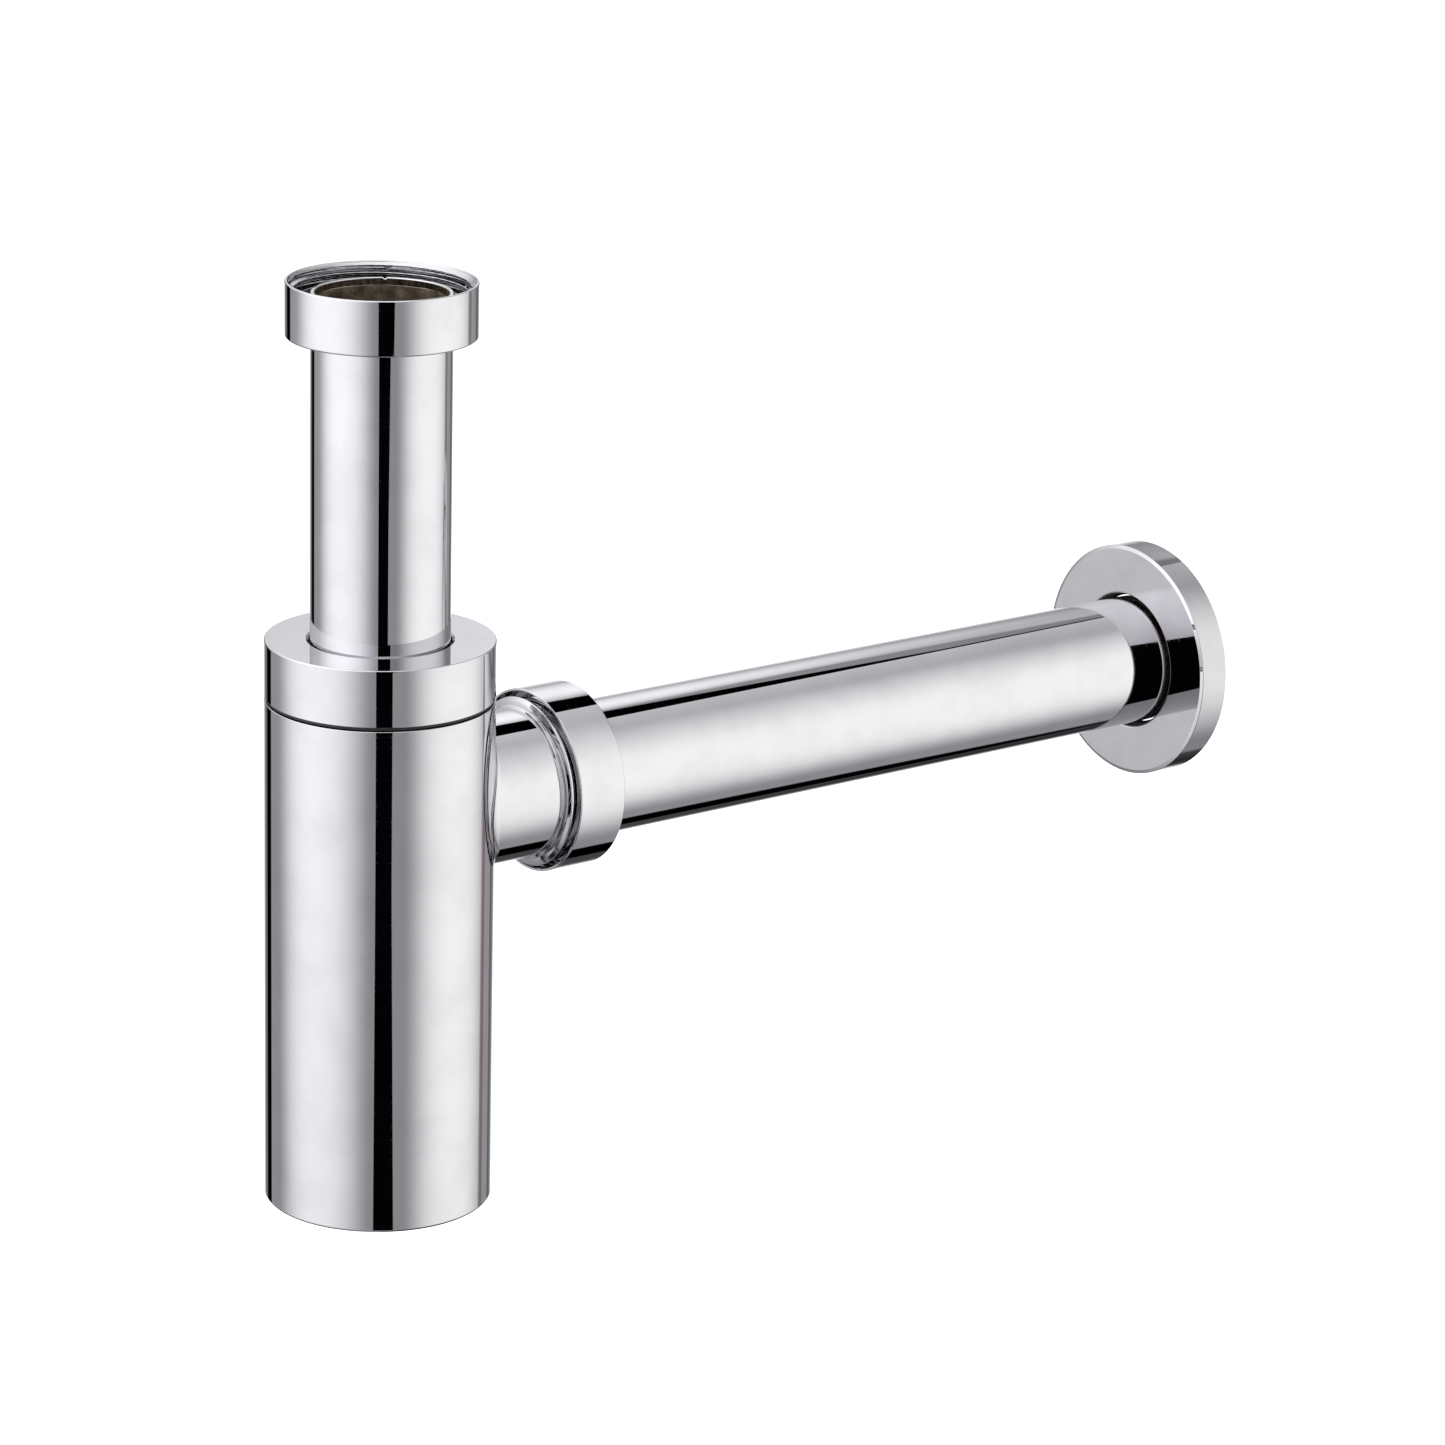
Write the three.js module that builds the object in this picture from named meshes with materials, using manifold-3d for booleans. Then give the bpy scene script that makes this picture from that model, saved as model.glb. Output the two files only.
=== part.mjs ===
// A chrome-plated bottle trap for a washbasin: an inlet tube with a union nut dips into a round
// bottle, and a straight outlet tube leaves the bottle's side through a wall flange.
// Millimetres, +Z up. The origin is the centre of the inlet washer's upper face, where the basin
// waste seals. +X runs along the outlet tube to the wall.
import * as THREE from "three";
import { mergeVertices } from "three/addons/utils/BufferGeometryUtils.js";
import Module from "manifold-3d";

const wasm = await Module();
wasm.setup();

// ---- driving dimensions -------------------------------------------------------------------

const SEGMENTS = 32; // sides of every turned surface
const FIT = 0.1; // gap between two faces that are clamped, brazed or glued together
const SLIDE = 0.15; // radial gap between a tube and the rubber that grips it

// Tubes, DN 32
const TUBE_R = 16;
const TUBE_WALL = 1;
const INLET_TOP = 3; // spigot above the washer, inside the basin waste
const INLET_LENGTH = 195;
const OUTLET_LENGTH = 205;
const HOLE_R = TUBE_R + 0.45; // clearance hole round a tube

// Pipe threads, 11 to the inch, with a truncated 55 degree form
const PITCH = 25.4 / 11;
const FLANK = Math.tan(THREE.MathUtils.degToRad(27.5));
const THREAD_DEPTH = 1.35;
const THREAD_RADIAL_GAP = 0.26; // between one thread's crest and the other's root
const CREST_HALF = 0.22; // half the width of a thread's crest
const UNION_MAJOR_R = 41.91 / 2; // G 1 1/4
const CAP_MAJOR_R = 47.8 / 2; // G 1 1/2
const THREAD_TURNS = 2.5;
const BURIED = 0.15; // how far a ridge's foot reaches into the cylinder that it stands on
const LEAST_FADE = 0.05; // a ridge's height at its ends, as a share of its full height

// Union nuts
const NUT_R = 21.7;
const NUT_HEIGHT = 12.6;
const NUT_LIP = 1.4;
const NUT_BOTTOM = -7; // the inlet nut's lower face
const NUT_THREAD_START = 4.9; // the ridge's first centre above the lip face
const NUT_MOUTH_R = 21.15;

// Rings on the inlet tube, from the nut's lip upwards
const THRUST_RING_THICK = 0.8;
const COLLAR_THICK = 1.5;
const COLLAR_R = 19;
const WASHER_THICK = 3;
const WASHER_R = 19.3;

// Cap and bottle
const BOTTLE_R = 26.4;
const BOTTLE_WALL = 1.2;
const CAP_TOP = -77.1;
const CAP_HEIGHT = 13.3;
const CAP_PLATE = 2;
const GASKET_THICK = 0.7;
const BOTTLE_TOP = CAP_TOP - CAP_HEIGHT - GASKET_THICK - 2 * FIT;
const BOTTLE_BOTTOM = CAP_TOP - 134.5;
const BASE_THICK = 2;
const BASE_RECESS = 0.3;
const NECK_TOP = CAP_TOP - 3.6;
const NECK_THREAD_START = CAP_TOP - 11.6;
const SEAT_TOP_R = 20.4;
const SEAT_BOTTOM_R = 17.2;
const SEAT_DEPTH = 5;
const SLIP_RING_THICK = 1;

// Outlet, measured as a distance from the bottle's axis
const OUTLET_Z = CAP_TOP - 41;
const STUB_R = 17.6;
const STUB_BORE_R = 15;
const SOCKET_START = 29.5; // the shoulder that stops the outlet tube
const OUTLET_TUBE_START = 35;
const COLLAR_START = 38.6;
const OUTLET_NUT_START = 41.3;
const OUTLET_NUT_END = OUTLET_NUT_START + NUT_HEIGHT;
const BRANCH_END = 50.4;
const BRANCH_COLLAR_R = 20;

// Wall flange
const FLANGE_R = 29.4;
const FLANGE_FRONT = 226.1;
const FLANGE_DEPTH = 8;
const FLANGE_SKIN = 1.6;
const FLANGE_HOLE_R = 17;
const HUB_R = 20.4;
const HUB_LENGTH = 6.6;
const GRIP_RING_HALF = 1.2; // half the thickness of the ring that grips the tube

// ---- materials ----------------------------------------------------------------------------

const chrome = () => new THREE.MeshStandardMaterial({ color: 0xd9d8dc, roughness: 0.06, metalness: 1 });
const brass = () => new THREE.MeshStandardMaterial({ color: 0xb08d57, roughness: 0.35, metalness: 1 });
const rubber = () => new THREE.MeshStandardMaterial({ color: 0x1b1b1c, roughness: 0.7, metalness: 0 });
const nylon = () => new THREE.MeshStandardMaterial({ color: 0xe8e6df, roughness: 0.5, metalness: 0 });

// ---- geometry helpers ---------------------------------------------------------------------

// Twice the area inside a closed outline of [radius, height] points, positive if anticlockwise.
function turnOf(outline) {
  return outline.reduce((sum, [r, z], i) => {
    const [nextR, nextZ] = outline[(i + 1) % outline.length];
    return sum + r * nextZ - nextR * z;
  }, 0);
}

// Turns a closed outline of [radius, height] points round the Z axis.
function turned(outline) {
  const ordered = turnOf(outline) < 0 ? [...outline].reverse() : outline;
  const points = [...ordered, ordered[0]].map(([r, z]) => new THREE.Vector2(r, z));
  return new THREE.LatheGeometry(points, SEGMENTS).rotateX(Math.PI / 2);
}

// Turns an outline that starts and ends on the axis, listed from its lowest point to its highest.
function turnedSolid(outline) {
  const points = outline.map(([r, z]) => new THREE.Vector2(r, z));
  return new THREE.LatheGeometry(points, SEGMENTS).rotateX(Math.PI / 2);
}

// A plain ring with a rectangular section.
function ring(innerR, outerR, bottom, top) {
  return turned([
    [innerR, bottom],
    [outerR, bottom],
    [outerR, top],
    [innerR, top],
  ]);
}

// A closed geometry as a solid for joining and cutting.
function solid(geometry) {
  const bare = new THREE.BufferGeometry();
  bare.setAttribute("position", geometry.toNonIndexed().getAttribute("position"));
  const merged = mergeVertices(bare, 1e-4);
  return new wasm.Manifold(
    new wasm.Mesh({
      numProp: 3,
      vertProperties: merged.attributes.position.array,
      triVerts: new Uint32Array(merged.index.array),
    }),
  );
}

// A solid as a geometry again.
function geometryOf(shape) {
  const { vertProperties, triVerts } = shape.getMesh();
  const geometry = new THREE.BufferGeometry();
  geometry.setAttribute("position", new THREE.BufferAttribute(vertProperties, 3));
  geometry.setIndex(new THREE.BufferAttribute(triVerts, 1));
  return geometry;
}

// A right-hand helical ridge standing on a cylinder of rootR up to crestR, on whichever side of it
// crestR lies. The ridge's centre starts at height start and it fades in and out over its ends.
function threadRidge(rootR, crestR, start, turns) {
  const outwards = Math.sign(crestR - rootR);
  const buriedR = rootR - outwards * BURIED;
  const steps = Math.round(turns * SEGMENTS);
  const fadeSteps = SEGMENTS / 4;
  const positions = [];
  for (let step = 0; step <= steps; step++) {
    const fade = Math.min(1, step / fadeSteps, (steps - step) / fadeSteps);
    const tipR = buriedR + (crestR - buriedR) * Math.max(fade, LEAST_FADE);
    const rootHalf = CREST_HALF + Math.abs(tipR - buriedR) * FLANK;
    const angle = (2 * Math.PI * step) / SEGMENTS;
    const height = start + (PITCH * step) / SEGMENTS;
    const section = [
      [buriedR, -rootHalf],
      [tipR, -CREST_HALF],
      [tipR, CREST_HALF],
      [buriedR, rootHalf],
    ];
    for (const [r, dz] of section) {
      positions.push(r * Math.cos(angle), r * Math.sin(angle), height + dz);
    }
  }
  const index = [];
  const quad = (a, b, c, d) => index.push(a, b, c, a, c, d);
  for (let step = 0; step < steps; step++) {
    for (let side = 0; side < 4; side++) {
      const near = 4 * step + side;
      const next = 4 * step + ((side + 1) % 4);
      quad(near, next, next + 4, near + 4);
    }
  }
  const last = 4 * steps;
  quad(3, 2, 1, 0);
  quad(last, last + 1, last + 2, last + 3);
  if (outwards > 0) {
    for (let i = 0; i < index.length; i += 3) {
      [index[i + 1], index[i + 2]] = [index[i + 2], index[i + 1]];
    }
  }
  const geometry = new THREE.BufferGeometry();
  geometry.setAttribute("position", new THREE.Float32BufferAttribute(positions, 3));
  geometry.setIndex(index);
  return geometry;
}

// Adds the ridges of an internal thread to a turned body bored to majorR.
function withInternalThread(body, majorR, start) {
  const ridge = threadRidge(majorR, majorR - THREAD_DEPTH, start, THREAD_TURNS);
  return geometryOf(solid(body).add(solid(ridge)));
}

const externalRootR = (majorR) => majorR - THREAD_DEPTH - THREAD_RADIAL_GAP;
const externalCrestR = (majorR) => majorR - THREAD_RADIAL_GAP;

// Adds the ridges of an external thread to a turned body of radius externalRootR(majorR).
function withExternalThread(body, majorR, start) {
  const ridge = threadRidge(externalRootR(majorR), externalCrestR(majorR), start, THREAD_TURNS);
  return solid(body).add(solid(ridge));
}

// ---- pieces -------------------------------------------------------------------------------

// A union nut: lip at height 0 with a hole for the tube, threaded mouth at the top.
function unionNut() {
  const bevel = 0.3;
  const body = turned([
    [HOLE_R, 0],
    [NUT_R - bevel, 0],
    [NUT_R, bevel],
    [NUT_R, NUT_HEIGHT - bevel],
    [NUT_R - bevel, NUT_HEIGHT],
    [NUT_MOUTH_R, NUT_HEIGHT],
    [UNION_MAJOR_R, NUT_HEIGHT - 2 * bevel],
    [UNION_MAJOR_R, NUT_LIP],
    [HOLE_R, NUT_LIP],
  ]);
  return withInternalThread(body, UNION_MAJOR_R, NUT_THREAD_START);
}

function inletTube() {
  const bottom = INLET_TOP - INLET_LENGTH;
  return ring(TUBE_R - TUBE_WALL, TUBE_R, bottom, INLET_TOP);
}

// The cap: a threaded cup, open below, with a hole for the inlet tube in its top plate.
function cap() {
  const bevel = 0.4;
  const bottom = CAP_TOP - CAP_HEIGHT;
  const ceiling = CAP_TOP - CAP_PLATE;
  const body = turned([
    [HOLE_R, ceiling],
    [CAP_MAJOR_R, ceiling],
    [CAP_MAJOR_R, bottom + bevel],
    [CAP_MAJOR_R + bevel, bottom],
    [BOTTLE_R - bevel / 2, bottom],
    [BOTTLE_R, bottom + bevel / 2],
    [BOTTLE_R, CAP_TOP - bevel],
    [BOTTLE_R - bevel, CAP_TOP],
    [HOLE_R + bevel, CAP_TOP],
    [HOLE_R, CAP_TOP - bevel],
  ]);
  return withInternalThread(body, CAP_MAJOR_R, NECK_THREAD_START + PITCH / 2);
}

// A cone-shaped rubber ring that grips a tube and sits in a seat which widens towards wideEnd.
function coneSeal(narrowEnd, wideEnd, headEnd, narrowR, wideR, headR) {
  return turned([
    [TUBE_R + SLIDE, narrowEnd],
    [narrowR, narrowEnd],
    [wideR, wideEnd],
    [headR, wideEnd],
    [headR, headEnd],
    [TUBE_R + SLIDE, headEnd],
  ]);
}

function capSeal() {
  const gap = 2 * FIT;
  const top = NECK_TOP + 0.3;
  const narrowEnd = NECK_TOP - SEAT_DEPTH + 0.4;
  const widening = (SEAT_TOP_R - SEAT_BOTTOM_R) / SEAT_DEPTH;
  const narrowR = SEAT_BOTTOM_R + 0.4 * widening - gap;
  const wideEnd = NECK_TOP - 0.2;
  const wideR = SEAT_TOP_R - 0.2 * widening - gap;
  return coneSeal(narrowEnd, wideEnd, top, narrowR, wideR, wideR - FIT);
}

function capSlipRing() {
  const top = CAP_TOP - CAP_PLATE - FIT;
  return ring(TUBE_R + 2 * SLIDE, SEAT_TOP_R - 0.4, top - SLIP_RING_THICK, top);
}

// The threaded neck, brazed into the top of the bottle shell, with the cone seat in its mouth.
function neckRing() {
  const wall = 2;
  const rootR = externalRootR(CAP_MAJOR_R);
  const sleeveR = BOTTLE_R - BOTTLE_WALL - FIT;
  const bottom = BOTTLE_TOP - 7;
  const boreR = SEAT_BOTTOM_R - 0.3;
  const seatBottom = NECK_TOP - SEAT_DEPTH;
  const webBottom = seatBottom - wall;
  const body = turned([
    [boreR, webBottom],
    [rootR - wall, webBottom],
    [rootR - wall, BOTTLE_TOP - wall / 2],
    [sleeveR - wall, BOTTLE_TOP - 2 * wall],
    [sleeveR - wall, bottom],
    [sleeveR, bottom],
    [sleeveR, BOTTLE_TOP],
    [rootR, BOTTLE_TOP],
    [rootR, NECK_TOP],
    [SEAT_TOP_R, NECK_TOP],
    [SEAT_BOTTOM_R, seatBottom],
    [boreR, seatBottom],
  ]);
  return geometryOf(withExternalThread(body, CAP_MAJOR_R, NECK_THREAD_START));
}

function bodyGasket() {
  const bottom = BOTTLE_TOP + FIT;
  return ring(CAP_MAJOR_R + 0.2, BOTTLE_R - 0.5, bottom, bottom + GASKET_THICK);
}

// A cylinder along +X at the outlet's height, from the bottle's axis outwards.
function outletCutter(radius, length) {
  const cylinder = turnedSolid([
    [0, 0],
    [radius, 0],
    [radius, length],
    [0, length],
  ]);
  return solid(cylinder.rotateY(Math.PI / 2).translate(0, 0, OUTLET_Z));
}

// The bottle's wall, with the hole that the outlet branch is brazed into.
function bottleShell() {
  const bevel = 0.9;
  const innerR = BOTTLE_R - BOTTLE_WALL;
  const wall = turned([
    [innerR, BOTTLE_BOTTOM],
    [BOTTLE_R - bevel, BOTTLE_BOTTOM],
    [BOTTLE_R - bevel / 3, BOTTLE_BOTTOM + bevel / 3],
    [BOTTLE_R, BOTTLE_BOTTOM + bevel],
    [BOTTLE_R, BOTTLE_TOP],
    [innerR, BOTTLE_TOP],
  ]);
  return geometryOf(solid(wall).subtract(outletCutter(STUB_R + FIT, 2 * BOTTLE_R)));
}

// The base disc, brazed into the bottle's lower end, with a turned-up edge.
function bottleBase() {
  const bottom = BOTTLE_BOTTOM + BASE_RECESS;
  const edgeR = BOTTLE_R - BOTTLE_WALL - FIT;
  const edgeHeight = 5;
  return turnedSolid([
    [0, bottom],
    [edgeR, bottom],
    [edgeR, bottom + edgeHeight],
    [edgeR - 1, bottom + edgeHeight],
    [edgeR - 1.6, bottom + BASE_THICK],
    [0, bottom + BASE_THICK],
  ]);
}

// The outlet branch: a stub that flares up to a collar, then the male thread and the seal's seat.
// Its inner end is cut to the bottle's inside.
function outletBranch() {
  const rootR = externalRootR(UNION_MAJOR_R);
  const innerEnd = BOTTLE_R - BOTTLE_WALL - 8;
  const flare = BRANCH_COLLAR_R - STUB_R;
  const body = turned([
    [STUB_BORE_R, innerEnd],
    [STUB_R, innerEnd],
    [STUB_R, COLLAR_START],
    [STUB_R + flare / 4, COLLAR_START + 0.9],
    [BRANCH_COLLAR_R, COLLAR_START + 1.7],
    [BRANCH_COLLAR_R, COLLAR_START + 2.4],
    [rootR, COLLAR_START + 2.9],
    [rootR, BRANCH_END],
    [rootR - 0.7, BRANCH_END],
    [TUBE_R + 1, BRANCH_END - 5],
    [HOLE_R, BRANCH_END - 5],
    [HOLE_R, SOCKET_START],
    [STUB_BORE_R, SOCKET_START],
  ]);
  // Half a pitch from the nut's ridge, whose first centre lies NUT_THREAD_START in from its lip.
  const nutRidge = OUTLET_NUT_END - NUT_THREAD_START;
  const start = nutRidge - PITCH / 2 - 2 * PITCH;
  const threaded = withExternalThread(body, UNION_MAJOR_R, start);
  const inside = turnedSolid([
    [0, -BOTTLE_R],
    [BOTTLE_R - BOTTLE_WALL, -BOTTLE_R],
    [BOTTLE_R - BOTTLE_WALL, BOTTLE_R],
    [0, BOTTLE_R],
  ]).rotateX(Math.PI / 2).rotateZ(Math.PI / 2).rotateX(Math.PI / 2);
  return geometryOf(threaded.subtract(solid(inside)));
}

function outletSeal() {
  const narrowEnd = BRANCH_END - 4.6;
  const wideEnd = BRANCH_END + 0.2;
  const mouthR = externalRootR(UNION_MAJOR_R) - 0.7;
  const widening = (mouthR - TUBE_R - 1) / 5;
  const narrowR = TUBE_R + 1 + 0.4 * widening - 2 * FIT;
  const wideR = mouthR - 2 * FIT;
  const headEnd = OUTLET_NUT_END - NUT_LIP - SLIP_RING_THICK - 2 * FIT;
  return coneSeal(narrowEnd, wideEnd, headEnd, narrowR, wideR, mouthR + 0.3);
}

function outletSlipRing() {
  const top = OUTLET_NUT_END - NUT_LIP - FIT;
  return ring(TUBE_R + 2 * SLIDE, WASHER_R, top - SLIP_RING_THICK, top);
}

// The wall flange: a hollow disc with a hub whose groove holds the grip ring. Height 0 is its front.
function wallFlange() {
  const bevel = 0.5;
  const rim = 1.4;
  const grooveR = TUBE_R + SLIDE + 2 * GRIP_RING_HALF + 0.2;
  const grooveHalf = GRIP_RING_HALF + 0.2;
  const grooveCentre = HUB_LENGTH / 2;
  return turned([
    [FLANGE_HOLE_R, bevel],
    [FLANGE_HOLE_R + bevel, 0],
    [FLANGE_R - bevel, 0],
    [FLANGE_R, bevel],
    [FLANGE_R, FLANGE_DEPTH],
    [FLANGE_R - rim, FLANGE_DEPTH],
    [FLANGE_R - rim, FLANGE_SKIN],
    [HUB_R, FLANGE_SKIN],
    [HUB_R, HUB_LENGTH],
    [FLANGE_HOLE_R, HUB_LENGTH],
    [FLANGE_HOLE_R, grooveCentre + grooveHalf],
    [grooveR, grooveCentre + grooveHalf],
    [grooveR, grooveCentre - grooveHalf],
    [FLANGE_HOLE_R, grooveCentre - grooveHalf],
  ]);
}

// The rubber ring in the flange's hub, with an eight-sided section.
function gripRing() {
  const sides = 8;
  const centreR = TUBE_R + SLIDE + GRIP_RING_HALF;
  const cornerR = GRIP_RING_HALF / Math.cos(Math.PI / sides);
  const section = Array.from({ length: sides }, (_, i) => {
    const angle = (2 * Math.PI * (i + 0.5)) / sides;
    return [centreR + cornerR * Math.cos(angle), HUB_LENGTH / 2 + cornerR * Math.sin(angle)];
  });
  return turned(section);
}

// ---- assembly -----------------------------------------------------------------------------

function piece(name, geometry, material, height = 0) {
  const mesh = new THREE.Mesh(geometry, material);
  mesh.name = name;
  mesh.position.z = height;
  return mesh;
}

function inletPieces() {
  const ringBottom = NUT_BOTTOM + NUT_LIP + FIT;
  const collarTop = -WASHER_THICK - FIT;
  return [
    piece("inlet_nut", unionNut(), chrome(), NUT_BOTTOM),
    piece(
      "inlet_thrust_ring",
      ring(TUBE_R + 2 * SLIDE, WASHER_R, 0, THRUST_RING_THICK),
      nylon(),
      ringBottom,
    ),
    piece("inlet_collar", ring(TUBE_R + FIT, COLLAR_R, -COLLAR_THICK, 0), brass(), collarTop),
    piece("inlet_washer", ring(TUBE_R + 2 * FIT, WASHER_R, -WASHER_THICK, 0), rubber()),
    piece("inlet_tube", inletTube(), chrome()),
  ];
}

function bottlePieces() {
  return [
    piece("cap", cap(), chrome()),
    piece("cap_slip_ring", capSlipRing(), nylon()),
    piece("cap_seal", capSeal(), rubber()),
    piece("neck_ring", neckRing(), brass()),
    piece("body_gasket", bodyGasket(), rubber()),
    piece("bottle_shell", bottleShell(), chrome()),
    piece("bottle_base", bottleBase(), chrome()),
  ];
}

// The outlet pieces are turned about their own Z axis, and the group lays that axis along +X.
function outletGroup() {
  const group = new THREE.Group();
  group.position.z = OUTLET_Z;
  group.rotation.y = Math.PI / 2;
  const nut = piece("outlet_nut", unionNut(), chrome(), OUTLET_NUT_END);
  nut.rotation.x = Math.PI; // mouth towards the bottle
  const tube = ring(TUBE_R - TUBE_WALL, TUBE_R, 0, OUTLET_LENGTH);
  group.add(
    piece("outlet_branch", outletBranch(), chrome()),
    nut,
    piece("outlet_slip_ring", outletSlipRing(), nylon()),
    piece("outlet_seal", outletSeal(), rubber()),
    piece("outlet_tube", tube, chrome(), OUTLET_TUBE_START),
    piece("wall_flange", wallFlange(), chrome(), FLANGE_FRONT),
    piece("flange_grip_ring", gripRing(), rubber(), FLANGE_FRONT),
  );
  return group;
}

const trap = new THREE.Group();
trap.add(...inletPieces(), ...bottlePieces(), outletGroup());

export default trap;
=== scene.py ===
"""The looks of a chrome bottle trap: turned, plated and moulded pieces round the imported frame."""

import math

import bpy
import numpy as np
from mathutils import Matrix, Vector


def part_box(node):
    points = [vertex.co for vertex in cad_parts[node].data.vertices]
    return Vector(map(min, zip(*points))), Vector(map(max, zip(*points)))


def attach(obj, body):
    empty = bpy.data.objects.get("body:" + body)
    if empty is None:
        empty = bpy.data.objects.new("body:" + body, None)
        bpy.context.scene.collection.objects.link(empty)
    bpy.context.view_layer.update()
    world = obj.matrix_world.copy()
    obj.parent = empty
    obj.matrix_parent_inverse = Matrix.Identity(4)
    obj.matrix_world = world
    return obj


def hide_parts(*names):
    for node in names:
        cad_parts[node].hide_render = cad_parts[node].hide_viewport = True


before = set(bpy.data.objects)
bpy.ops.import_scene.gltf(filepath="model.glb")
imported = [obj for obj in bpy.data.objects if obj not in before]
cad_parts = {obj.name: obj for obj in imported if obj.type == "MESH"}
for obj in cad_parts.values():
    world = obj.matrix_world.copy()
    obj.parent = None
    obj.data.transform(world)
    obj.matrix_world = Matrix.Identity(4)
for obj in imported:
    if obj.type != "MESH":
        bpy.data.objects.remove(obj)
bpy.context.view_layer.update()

MM = 0.001
TURN = 2 * math.pi

# ---- sizes in millimetres that the frame's boxes don't give -----------------------------------

FINE = 256  # steps round a surface that shows
HIDDEN = 128  # steps round a surface inside the trap
ARC_STEP = math.radians(12)  # turn between two points of a rounded edge
TINY = 1e-6

PITCH = 25.4 / 11
FLANK = math.tan(math.radians(27.5))
THREAD_DEPTH = 1.35
THREAD_GAP = 0.26  # from one thread's crest to the other's root
CREST_HALF = 0.22
ROUNDING = 0.20  # how far a thread's crest and root are rounded off
ROWS_PER_PITCH = 44
UNION_MAJOR = 41.91 / 2  # G 1 1/4
CAP_MAJOR = 47.8 / 2  # G 1 1/2
THREAD_TURNS = 2.5
NUT_TURNS = 3.5  # the inlet nut's thread runs out through its mouth
OUTLET_NUT_TURNS = 2.0
NUT_LIP = 1.4
NUT_MOUTH = 21.15
NUT_THREAD = 4.9  # the thread's first centre above the nut's lip face
HOLE = 16.45
TUBE_WALL = 1.0
BOTTLE_WALL = 1.2
# How bare of plating a surface is: wholly, and inside the nuts, the cap and the flange.
# The flange's value also paints shade, darkening the wall of its hole in the gap round the tube.
BARE = 1.0
BARE_NUT, BARE_CAP, FLANGE_BARE_AND_SHADE = 0.08, 0.42, 0.8
NICK_ANGLE = 54.5  # degrees round the spigot
NICK_DEPTH = 0.32
RIM_PLATED = 1.5  # how far the plating runs down inside the spigot
RIM_FADE = 0.5


# ---- outlines ---------------------------------------------------------------------------------


def rounded(corners, closed=True):
    """Points with outward normals along an outline of (radius, height, fillet) corners.

    The outline runs anticlockwise with radius to the right and height up, or is turned round to."""
    points = np.array([(r, h) for r, h, _ in corners])
    following = np.roll(points, -1, axis=0)
    area = np.sum(points[:, 0] * following[:, 1] - following[:, 0] * points[:, 1])
    if area < 0:
        corners = corners[::-1]
        points = points[::-1]
    samples = []
    last = len(corners) - 1
    for i, (_, _, fillet) in enumerate(corners):
        here = points[i]
        if not closed and i in (0, last):
            toward = points[1] - points[0] if i == 0 else points[last] - points[last - 1]
            along = toward / np.linalg.norm(toward)
            samples.append((here[0], here[1], along[1], -along[0]))
            continue
        before = here - points[i - 1]
        after = points[(i + 1) % len(points)] - here
        length_before, length_after = np.linalg.norm(before), np.linalg.norm(after)
        before, after = before / length_before, after / length_after
        normal = np.array([before[1], -before[0]])
        turn = math.atan2(before[0] * after[1] - before[1] * after[0], before @ after)
        if abs(turn) < TINY:
            samples.append((here[0], here[1], normal[0], normal[1]))
            continue
        back = fillet * math.tan(abs(turn) / 2)
        most = 0.49 * min(length_before, length_after)
        if back > most:
            fillet *= most / back
            back = most
        start = here - before * back
        side = math.copysign(1, turn)
        centre = start - side * fillet * normal
        steps = max(2, math.ceil(abs(turn) / ARC_STEP))
        for step in range(steps + 1):
            angle = turn * step / steps
            c, s = math.cos(angle), math.sin(angle)
            n = np.array([c * normal[0] - s * normal[1], s * normal[0] + c * normal[1]])
            p = centre + side * fillet * n
            samples.append((p[0], p[1], n[0], n[1]))
    return np.array(samples)


# ---- threads ----------------------------------------------------------------------------------


def rounded_ramp(x, low, high):
    """x held between low and high, with both bends rounded off."""

    def bend(t):
        inside = np.clip(t / ROUNDING + 0.5, 0, 1)
        return np.where(t > ROUNDING / 2, t, ROUNDING * inside * inside / 2)

    return low + bend(x - low) - bend(x - high)


class Thread:
    """A right-hand helical ridge on the wall of radius root."""

    def __init__(self, root, outwards, start, turns, runs_out=False, mouth=None):
        self.root = root
        self.outwards = outwards
        self.start = start
        self.turns = turns
        self.runs_out = runs_out
        self.mouth = mouth
        foot = CREST_HALF + THREAD_DEPTH * FLANK
        self.low = start - foot - ROUNDING
        self.high = start + turns * PITCH + foot + ROUNDING

    def radius(self, angle, height):
        """The wall's radius at each angle and height."""
        ridge = np.zeros_like(height)
        for lap in range(math.ceil(self.turns) + 1):
            along = angle / TURN + lap
            offset = np.abs(height - self.start - PITCH * along)
            shape = rounded_ramp((CREST_HALF - offset) / FLANK + THREAD_DEPTH, 0, THREAD_DEPTH)
            fade = np.clip(4 * along, 0, 1)
            if not self.runs_out:
                fade = fade * np.clip(4 * (self.turns - along), 0, 1)
            inside = (along >= 0) & (along <= self.turns)
            fade = np.where(inside, fade * fade * (3 - 2 * fade), 0)
            ridge = np.maximum(ridge, shape * fade)
        wall = self.root + self.outwards * ridge
        if self.mouth is not None:
            mouth_radius, mouth_height = self.mouth
            wall = np.maximum(wall, mouth_radius - np.abs(mouth_height - height))
        return wall


def with_rows(samples, thread):
    """Adds rows of points along the wall that the thread stands on, and marks which they are."""
    rows, marks = [], []
    for i, here in enumerate(samples):
        following = samples[(i + 1) % len(samples)]
        rows.append(here)
        marks.append(False)
        on_wall = abs(here[0] - thread.root) < TINY and abs(following[0] - thread.root) < TINY
        if not on_wall or abs(abs(here[2]) - 1) > TINY:
            continue
        low, high = sorted((here[1], following[1]))
        low, high = max(low, thread.low), min(high, thread.high)
        if high - low < PITCH / 2:
            continue
        heights = np.linspace(low, high, max(2, round((high - low) / PITCH * ROWS_PER_PITCH)))
        if following[1] < here[1]:
            heights = heights[::-1]
        for height in heights[1:-1]:
            rows.append((thread.root, height, here[2], 0.0))
            marks.append(True)
    return np.array(rows), np.array(marks)


# ---- meshes -----------------------------------------------------------------------------------


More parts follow.
